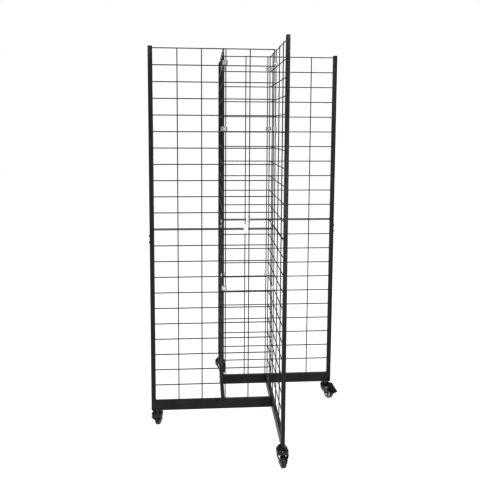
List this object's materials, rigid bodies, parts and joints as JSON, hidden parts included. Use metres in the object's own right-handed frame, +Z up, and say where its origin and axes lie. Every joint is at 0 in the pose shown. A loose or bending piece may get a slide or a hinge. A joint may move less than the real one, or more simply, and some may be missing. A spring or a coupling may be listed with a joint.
{
  "type": "gridwall display stand",
  "caption": "Rolling gridwall display: wire-grid wings set as a pinwheel round an open square well, on base rails with swivel casters, one with a brake pedal.",
  "frame": {"origin": "middle of the whole footprint on the floor, casters and brake pedal included", "axes": "+Z up; the left and right wings lie along X, the front wing points to -Y and the back wing to +Y"},
  "size_m": [0.9744, 0.9667, 1.828],
  "materials": {
    "black_powder_coat": "fine-textured semi-gloss powder coat",
    "black_plastic": "satin moulded",
    "black_hardware": "black oxide",
    "zinc_plate": "bright zinc plate",
    "plain_steel": "plain, lightly oiled",
    "caster_black": "gloss black stamping",
    "hub_grey": "grey moulded hub",
    "tyre_black": "smooth rubber",
    "pedal_black": "satin moulded"
  },
  "bodies": {
    "stand": {"left_upper_post": "black_powder_coat", "left_upper_uprights": "black_powder_coat", "left_upper_crosswires": "black_powder_coat", "left_lower_post": "black_powder_coat", "left_lower_uprights": "black_powder_coat", "left_lower_crosswires": "black_powder_coat", "left_base_rail": "black_powder_coat", "front_upper_post": "black_powder_coat", "front_upper_uprights": "black_powder_coat", "front_upper_crosswires": "black_powder_coat", "front_lower_post": "black_powder_coat", "front_lower_uprights": "black_powder_coat", "front_lower_crosswires": "black_powder_coat", "front_base_rail": "black_powder_coat", "right_upper_post": "black_powder_coat", "right_upper_uprights": "black_powder_coat", "right_upper_crosswires": "black_powder_coat", "right_lower_post": "black_powder_coat", "right_lower_uprights": "black_powder_coat", "right_lower_crosswires": "black_powder_coat", "right_base_rail": "black_powder_coat", "back_upper_post": "black_powder_coat", "back_upper_uprights": "black_powder_coat", "back_upper_crosswires": "black_powder_coat", "back_lower_post": "black_powder_coat", "back_lower_uprights": "black_powder_coat", "back_lower_crosswires": "black_powder_coat", "back_base_rail": "black_powder_coat", "post_caps": "black_plastic", "splice_sleeves": "plain_steel", "splice_bolts": "black_hardware", "clip_front_plates": "zinc_plate", "clip_back_plates": "zinc_plate", "clip_bolts": "zinc_plate", "clip_nuts": "zinc_plate", "rail_end_plugs": "plain_steel", "rail_screws": "black_hardware", "caster_inserts": "plain_steel", "caster_stems": "plain_steel", "caster_stem_nuts": "zinc_plate", "caster_races": "caster_black", "caster_balls": "zinc_plate"},
    "left_caster": {"left_caster_fork": "caster_black", "left_caster_axle": "zinc_plate"},
    "left_wheel": {"left_wheel_hub": "hub_grey", "left_wheel_tyre": "tyre_black"},
    "front_caster": {"front_caster_fork": "caster_black", "front_caster_axle": "zinc_plate"},
    "front_wheel": {"front_wheel_hub": "hub_grey", "front_wheel_tyre": "tyre_black"},
    "right_caster": {"right_caster_fork": "caster_black", "right_caster_axle": "zinc_plate", "brake_pivot_pin": "zinc_plate"},
    "right_wheel": {"right_wheel_hub": "hub_grey", "right_wheel_tyre": "tyre_black"},
    "back_caster": {"back_caster_fork": "caster_black", "back_caster_axle": "zinc_plate"},
    "back_wheel": {"back_wheel_hub": "hub_grey", "back_wheel_tyre": "tyre_black"},
    "pedal": {"brake_pedal": "pedal_black"}
  },
  "joints": [
    {"name": "left_caster_swivel", "type": "hinge", "parent": "stand", "child": "left_caster", "pos_m": [-0.46001, -0.11083, 0.075], "axis": [0, 0, 1], "continuous": true},
    {"name": "left_wheel_spin", "type": "hinge", "parent": "left_caster", "child": "left_wheel", "pos_m": [-0.45584, -0.08719, 0.025], "axis": [-0.9848, 0.1736, 0], "continuous": true},
    {"name": "front_caster_swivel", "type": "hinge", "parent": "stand", "child": "front_caster", "pos_m": [0.10649, -0.43233, 0.075], "axis": [0, 0, 1], "continuous": true},
    {"name": "front_wheel_spin", "type": "hinge", "parent": "front_caster", "child": "front_wheel", "pos_m": [0.10775, -0.45629, 0.025], "axis": [0.9986, 0.0523, 0], "continuous": true},
    {"name": "right_caster_swivel", "type": "hinge", "parent": "stand", "child": "right_caster", "pos_m": [0.42799, 0.13417, 0.075], "axis": [0, 0, 1], "continuous": true},
    {"name": "right_wheel_spin", "type": "hinge", "parent": "right_caster", "child": "right_wheel", "pos_m": [0.44342, 0.11579, 0.025], "axis": [0.766, 0.6428, 0], "continuous": true},
    {"name": "back_caster_swivel", "type": "hinge", "parent": "stand", "child": "back_caster", "pos_m": [-0.13851, 0.45567, 0.075], "axis": [0, 0, 1], "continuous": true},
    {"name": "back_wheel_spin", "type": "hinge", "parent": "back_caster", "child": "back_wheel", "pos_m": [-0.12474, 0.43601, 0.025], "axis": [0.8192, 0.5736, 0], "continuous": true},
    {"name": "brake_pedal_press", "type": "hinge", "parent": "right_caster", "child": "pedal", "pos_m": [0.44599, 0.11272, 0.066], "axis": [0.766, 0.6428, 0], "range_deg": [0, 9]}
  ]
}
